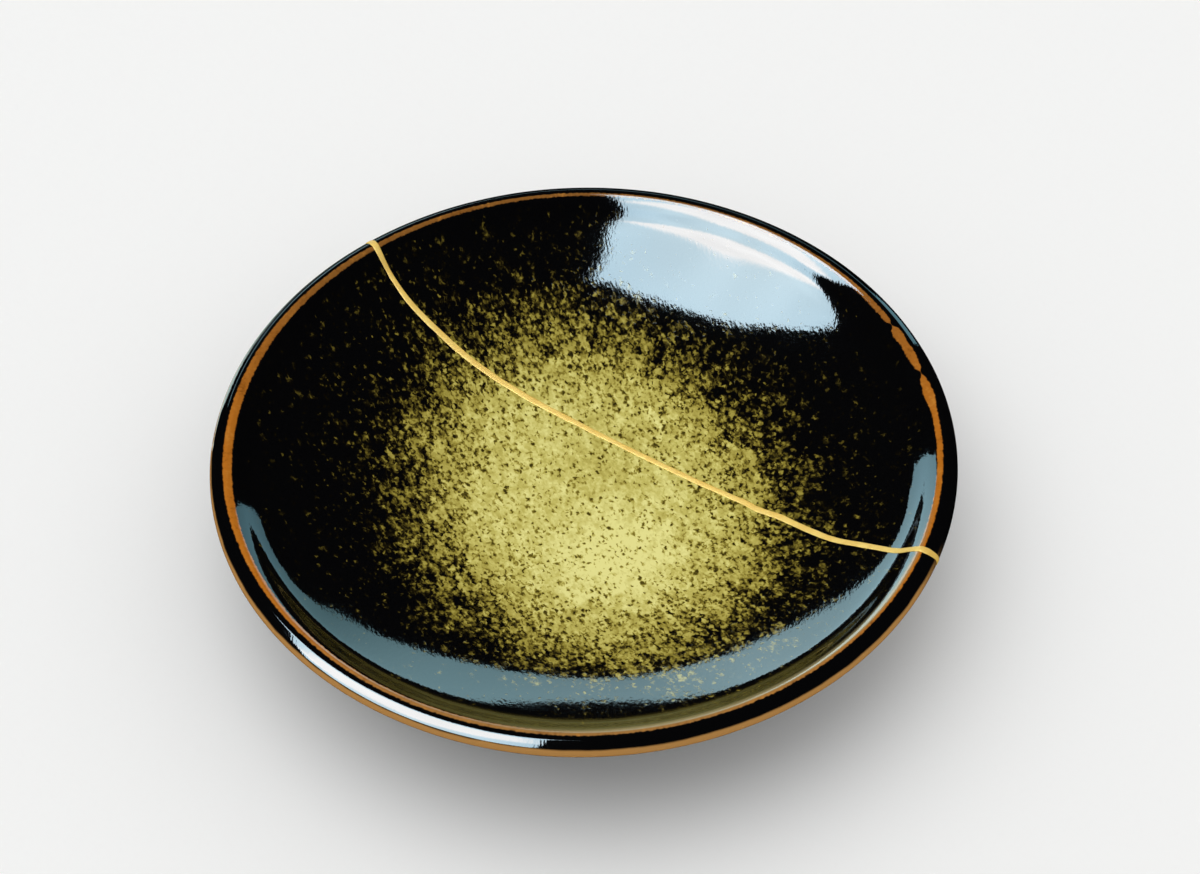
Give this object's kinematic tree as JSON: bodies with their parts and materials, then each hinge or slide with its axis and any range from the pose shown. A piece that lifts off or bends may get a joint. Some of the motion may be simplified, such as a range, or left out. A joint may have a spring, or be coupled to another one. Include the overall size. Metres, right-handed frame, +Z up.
{
  "type": "kintsugi plate",
  "caption": "Round shallow stoneware plate on a foot ring, black glaze with a speckled ochre-green centre, broken in two and mended with a gold seam.",
  "frame": {"origin": "centre of the foot ring, on the plane it stands on", "axes": "+Z up along the plate's turning axis; the break runs from the back left rim (-X, +Y) to the front right rim (+X, -Y)"},
  "size_m": [0.16, 0.16, 0.0293],
  "materials": {
    "black_glaze": "gloss",
    "gold": "satin"
  },
  "bodies": {
    "root": {"front_shard": "black_glaze", "back_shard": "black_glaze", "gold_seam": "gold"}
  },
  "joints": []
}
